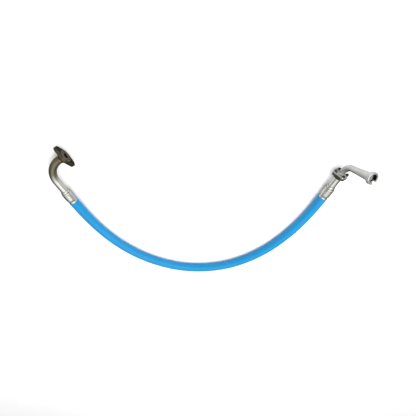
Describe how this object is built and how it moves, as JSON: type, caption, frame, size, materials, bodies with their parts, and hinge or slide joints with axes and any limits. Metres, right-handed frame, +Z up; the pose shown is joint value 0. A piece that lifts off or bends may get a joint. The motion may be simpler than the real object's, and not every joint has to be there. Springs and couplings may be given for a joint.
{
  "type": "hydraulic hose assembly",
  "caption": "Blue hydraulic hose with crimped ferrules, a bent steel tube with a two-hole flange at one end and a flanged cast elbow with a notched rim at the other.",
  "frame": {"origin": "on the floor, midway between the two end fittings", "axes": "+X along the chord from the elbow end to the flange end, +Y from the ends towards the bottom of the U, +Z up"},
  "size_m": [0.8703, 0.5029, 0.1177],
  "materials": {
    "hose_cover": "smooth bright blue synthetic rubber cover with a faint wrap mark",
    "liner_rubber": "black nitrile rubber",
    "braid_wire": "brass-plated braided wire",
    "zinc_steel": "zinc-plated steel, crimped",
    "bright_steel": "bright zinc-plated steel",
    "tube_steel": "bare steel tube, heat-browned towards the weld",
    "browned_steel": "oiled dark olive-brown steel",
    "weld_steel": "dark weld bead",
    "dark_steel": "oiled dark olive-brown steel",
    "cast_steel": "light grey casting, fine sand texture",
    "black_screw": "blackened screw steel",
    "seal_rubber": "black seal rubber"
  },
  "bodies": {
    "left_end": {"mounting_flange": "browned_steel", "face_seal_ring": "seal_rubber", "flange_weld": "weld_steel", "bent_tube": "tube_steel", "left_nipple": "zinc_steel", "left_ferrule": "zinc_steel", "hose_liner_left": "liner_rubber", "inner_braid_left": "braid_wire", "braid_separator_left": "liner_rubber", "outer_braid_left": "braid_wire", "hose_cover_left": "hose_cover"},
    "right_end": {"hose_liner_right": "liner_rubber", "inner_braid_right": "braid_wire", "braid_separator_right": "liner_rubber", "outer_braid_right": "braid_wire", "hose_cover_right": "hose_cover", "right_ferrule": "zinc_steel", "right_nipple": "zinc_steel", "stub_tube": "bright_steel"},
    "elbow": {"loose_flange": "dark_steel", "elbow_casting": "cast_steel", "joint_seal_ring": "seal_rubber", "flange_screws": "black_screw", "spring_washers": "black_screw"}
  },
  "joints": [
    {"name": "hose_flex", "type": "hinge", "parent": "left_end", "child": "right_end", "pos_m": [0.035, 0.3936, 0.014], "axis": [0, 0, 1], "range_deg": [-25, 20], "stiffness_Nm_per_rad": 3},
    {"name": "elbow_clocking", "type": "hinge", "parent": "right_end", "child": "elbow", "pos_m": [-0.37648, -0.00636, 0.02348], "axis": [-0.3373, -0.9393, 0.0623], "range_deg": [-60, 60]}
  ]
}
